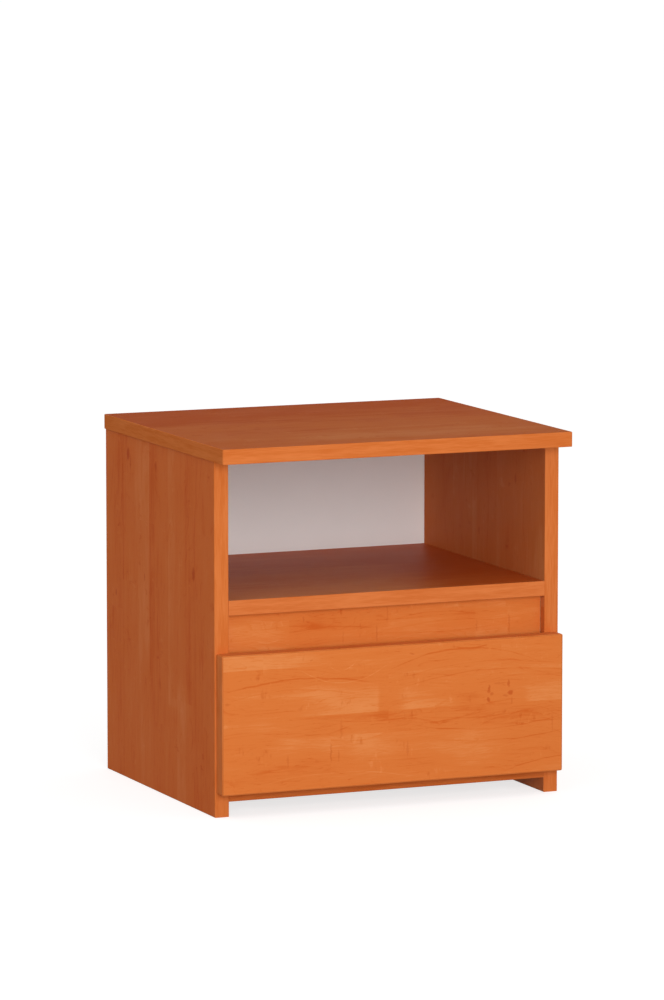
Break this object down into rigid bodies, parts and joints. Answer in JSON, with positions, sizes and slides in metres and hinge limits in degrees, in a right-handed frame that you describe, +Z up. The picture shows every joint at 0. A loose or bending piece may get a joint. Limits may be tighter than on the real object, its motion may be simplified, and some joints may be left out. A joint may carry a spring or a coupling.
{
  "type": "bedside chest with one drawer",
  "caption": "Low bedside chest in wood-grain board: overhanging top, open niche, and a wide drawer without a handle on roller runners.",
  "frame": {"origin": "on the floor, at the middle of the footprint", "axes": "+Z up, the drawer opens towards -Y, +X to the right as seen from the front"},
  "size_m": [0.4, 0.35, 0.392],
  "materials": {
    "laminate": "satin alder-coloured laminate on particle board",
    "hardboard": "white lacquered hardboard",
    "coated_steel": "cream epoxy coating on rolled steel",
    "nylon": "matte white nylon",
    "zinc": "zinc, dull",
    "beech": "raw beech"
  },
  "bodies": {
    "carcass": {"top_panel": "laminate", "left_side_panel": "laminate", "right_side_panel": "laminate", "shelf_panel": "laminate", "bottom_panel": "laminate", "front_rail": "laminate", "back_sheet": "hardboard", "left_cabinet_runner": "coated_steel", "right_cabinet_runner": "coated_steel", "left_front_shelf_cam": "zinc", "left_front_shelf_bolt": "zinc", "left_rear_shelf_cam": "zinc", "left_rear_shelf_bolt": "zinc", "right_front_shelf_cam": "zinc", "right_front_shelf_bolt": "zinc", "right_rear_shelf_cam": "zinc", "right_rear_shelf_bolt": "zinc", "left_front_bottom_cam": "zinc", "left_front_bottom_bolt": "zinc", "left_rear_bottom_cam": "zinc", "left_rear_bottom_bolt": "zinc", "right_front_bottom_cam": "zinc", "right_front_bottom_bolt": "zinc", "right_rear_bottom_cam": "zinc", "right_rear_bottom_bolt": "zinc", "left_middle_top_cam": "zinc", "left_middle_top_bolt": "zinc", "left_rear_top_cam": "zinc", "left_rear_top_bolt": "zinc", "right_middle_top_cam": "zinc", "right_middle_top_bolt": "zinc", "right_rear_top_cam": "zinc", "right_rear_top_bolt": "zinc", "left_top_dowel": "beech", "right_top_dowel": "beech", "left_upper_rail_dowel": "beech", "left_lower_rail_dowel": "beech", "right_upper_rail_dowel": "beech", "right_lower_rail_dowel": "beech"},
    "drawer": {"drawer_front": "laminate", "drawer_left_side": "laminate", "drawer_right_side": "laminate", "drawer_back": "laminate", "drawer_floor": "hardboard", "left_drawer_runner": "coated_steel", "right_drawer_runner": "coated_steel", "drawer_left_cam": "zinc", "drawer_left_bolt": "zinc", "drawer_right_cam": "zinc", "drawer_right_bolt": "zinc", "drawer_left_lower_screw": "zinc", "drawer_left_upper_screw": "zinc", "drawer_right_lower_screw": "zinc", "drawer_right_upper_screw": "zinc", "drawer_left_dowel": "beech", "drawer_right_dowel": "beech"},
    "left_cabinet_roller_body": {"left_cabinet_roller": "nylon"},
    "right_cabinet_roller_body": {"right_cabinet_roller": "nylon"},
    "left_drawer_roller_body": {"left_drawer_roller": "nylon"},
    "right_drawer_roller_body": {"right_drawer_roller": "nylon"}
  },
  "joints": [
    {"name": "drawer_slide", "type": "slide", "parent": "carcass", "child": "drawer", "axis": [0, -1, 0], "range_m": [0, 0.225]},
    {"name": "left_cabinet_roller_spin", "type": "hinge", "parent": "carcass", "child": "left_cabinet_roller_body", "pos_m": [-0.1763, -0.131, 0.0496], "axis": [1, 0, 0], "continuous": true},
    {"name": "right_cabinet_roller_spin", "type": "hinge", "parent": "carcass", "child": "right_cabinet_roller_body", "pos_m": [0.1763, -0.131, 0.0496], "axis": [1, 0, 0], "continuous": true},
    {"name": "left_drawer_roller_spin", "type": "hinge", "parent": "drawer", "child": "left_drawer_roller_body", "pos_m": [-0.1763, 0.143, 0.0493], "axis": [1, 0, 0], "continuous": true},
    {"name": "right_drawer_roller_spin", "type": "hinge", "parent": "drawer", "child": "right_drawer_roller_body", "pos_m": [0.1763, 0.143, 0.0493], "axis": [1, 0, 0], "continuous": true}
  ],
  "couplings": [
    {"joint": "left_cabinet_roller_spin", "follows": "drawer_slide", "rad_per_m": 125},
    {"joint": "right_cabinet_roller_spin", "follows": "drawer_slide", "rad_per_m": 125},
    {"joint": "left_drawer_roller_spin", "follows": "drawer_slide", "rad_per_m": 125},
    {"joint": "right_drawer_roller_spin", "follows": "drawer_slide", "rad_per_m": 125}
  ]
}
